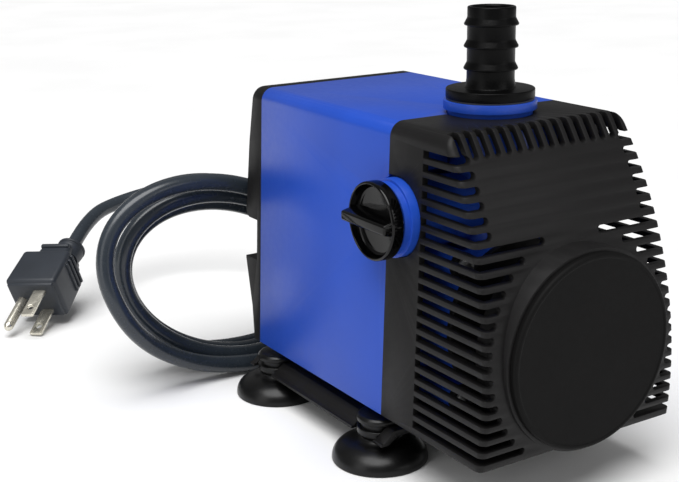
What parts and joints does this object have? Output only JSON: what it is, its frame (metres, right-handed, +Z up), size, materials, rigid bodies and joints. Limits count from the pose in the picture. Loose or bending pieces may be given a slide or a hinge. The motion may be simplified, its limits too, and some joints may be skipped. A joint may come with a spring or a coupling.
{
  "type": "submersible water pump",
  "caption": "Submersible pond and fountain pump with a slotted strainer cover, a side flow knob, an upright hose barb, suction feet and a coiled lead with a plug.",
  "frame": {"origin": "on the floor under the centre of the pump, at the rims of the suction feet; the lead and its plug lie behind it", "axes": "+Z up along the hose barb, -Y towards the strainer's round cap, -X towards the flow knob"},
  "size_m": [0.178, 0.3452, 0.1695],
  "materials": {
    "blue_plastic": "satin moulded plastic",
    "black_plastic": "fine matte moulded plastic",
    "gloss_black": "glossy moulded plastic",
    "black_rubber": "soft rubber",
    "cord_jacket": "satin vinyl jacket",
    "grey_plastic": "light grey plastic",
    "stainless": "stainless steel",
    "core_steel": "laminated silicon steel",
    "copper_wire": "enamelled copper wire",
    "spool_plastic": "white nylon",
    "resin": "poured epoxy",
    "ferrite": "sintered ferrite in a black sleeve",
    "ceramic": "polished alumina",
    "impeller_plastic": "white plastic",
    "nickel_brass": "nickel-plated brass"
  },
  "bodies": {
    "pump_body": {"motor_housing": "blue_plastic", "back_cover": "black_plastic", "back_cover_screws": "stainless", "cord_anchor_strip": "grey_plastic", "cord_gland": "black_rubber", "stator_core": "core_steel", "bobbin_left": "spool_plastic", "bobbin_right": "spool_plastic", "winding_left": "copper_wire", "winding_right": "copper_wire", "potting_resin": "resin", "rotor_shaft": "ceramic", "rear_shaft_bush": "black_rubber", "front_shaft_bush": "black_rubber", "thrust_washers": "ceramic", "volute_casing": "blue_plastic", "volute_seal": "black_rubber", "impeller_cover": "black_plastic", "volute_screws": "stainless", "outlet_seal": "black_rubber", "hose_barb": "black_plastic", "base_plate": "black_plastic", "base_plate_screws": "stainless", "suction_cup_front_left": "black_rubber", "suction_cup_front_right": "black_rubber", "suction_cup_rear_left": "black_rubber", "suction_cup_rear_right": "black_rubber", "cord_lead": "cord_jacket", "cord_coil": "cord_jacket", "cord_end": "cord_jacket", "cord_tie": "black_plastic", "plug_body": "cord_jacket", "plug_blades": "nickel_brass", "plug_ground_pin": "nickel_brass"},
    "rotor": {"rotor_magnet": "ferrite", "impeller": "impeller_plastic"},
    "flow_valve": {"valve_barrel": "black_plastic", "flow_knob": "gloss_black", "knob_seal": "black_rubber"},
    "strainer": {"front_cover": "black_plastic", "front_cap": "black_plastic"}
  },
  "joints": [
    {"name": "rotor_spin", "type": "hinge", "parent": "pump_body", "child": "rotor", "pos_m": [0, 0, 0.0567], "axis": [0, 1, 0], "continuous": true},
    {"name": "flow_knob_turn", "type": "hinge", "parent": "pump_body", "child": "flow_valve", "pos_m": [-0.05, -0.0264, 0.0984], "axis": [1, 0, 0], "range_deg": [0, 90]},
    {"name": "front_cover_slide", "type": "slide", "parent": "pump_body", "child": "strainer", "axis": [0, -1, 0], "range_m": [0, 0.065]}
  ]
}
